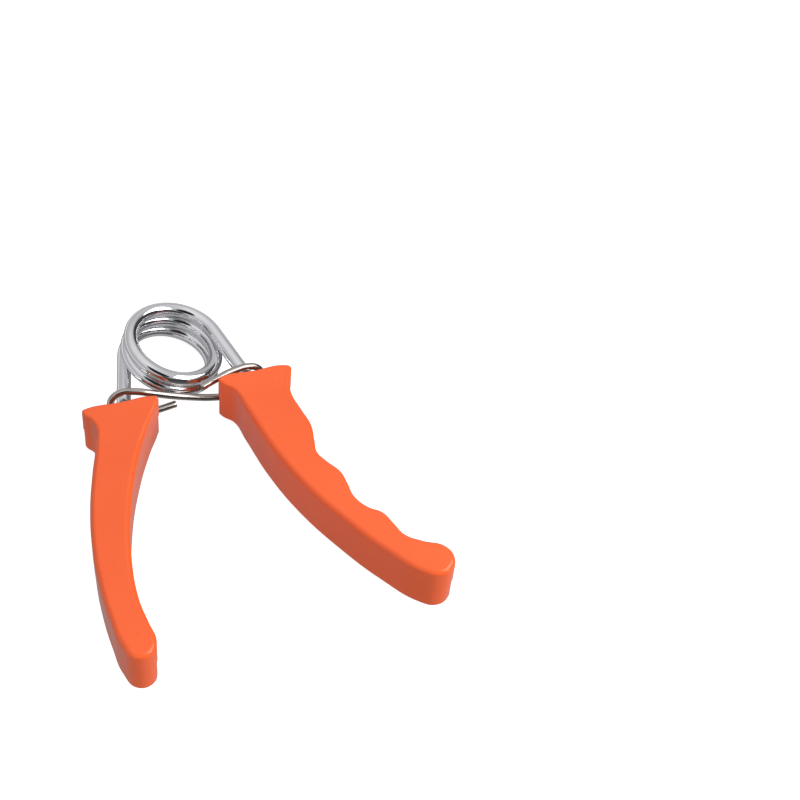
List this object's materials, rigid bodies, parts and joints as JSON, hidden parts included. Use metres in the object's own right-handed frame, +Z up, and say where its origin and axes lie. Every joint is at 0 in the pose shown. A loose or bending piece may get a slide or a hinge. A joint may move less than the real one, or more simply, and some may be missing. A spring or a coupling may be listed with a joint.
{
  "type": "hand grip strengthener",
  "caption": "Hand grip strengthener lying flat: two curved plastic handles, one with finger grooves, on a chromed coil spring with a wire stop link.",
  "frame": {"origin": "bottom centre of the whole grip's bounding box, lying flat", "axes": "+X towards the finger handle, +Y towards the coil, +Z up"},
  "size_m": [0.0904, 0.1144, 0.0168],
  "materials": {
    "chrome_wire": "polished",
    "bright_wire": "bright drawn",
    "orange_plastic": "semi-gloss"
  },
  "bodies": {
    "palm_side": {"palm_handle_upper_shell": "orange_plastic", "palm_handle_lower_shell": "orange_plastic", "torsion_spring": "chrome_wire"},
    "finger_side": {"finger_handle_upper_shell": "orange_plastic", "finger_handle_lower_shell": "orange_plastic"},
    "link": {"stop_link": "bright_wire"}
  },
  "joints": [
    {"name": "squeeze", "type": "hinge", "parent": "palm_side", "child": "finger_side", "pos_m": [-0.0057, 0.04262, 0.00836], "axis": [0, 0, -1], "range_deg": [0, 38], "stiffness_Nm_per_rad": 12.3, "springref_deg": -9.74, "deforming": ["torsion_spring"]},
    {"name": "link_slide", "type": "slide", "parent": "palm_side", "child": "link", "axis": [-1, 0, 0], "range_m": [0, 0.0055]}
  ],
  "couplings": [
    {"joint": "link_slide", "follows": "squeeze", "m_per_rad": 0.0075}
  ]
}
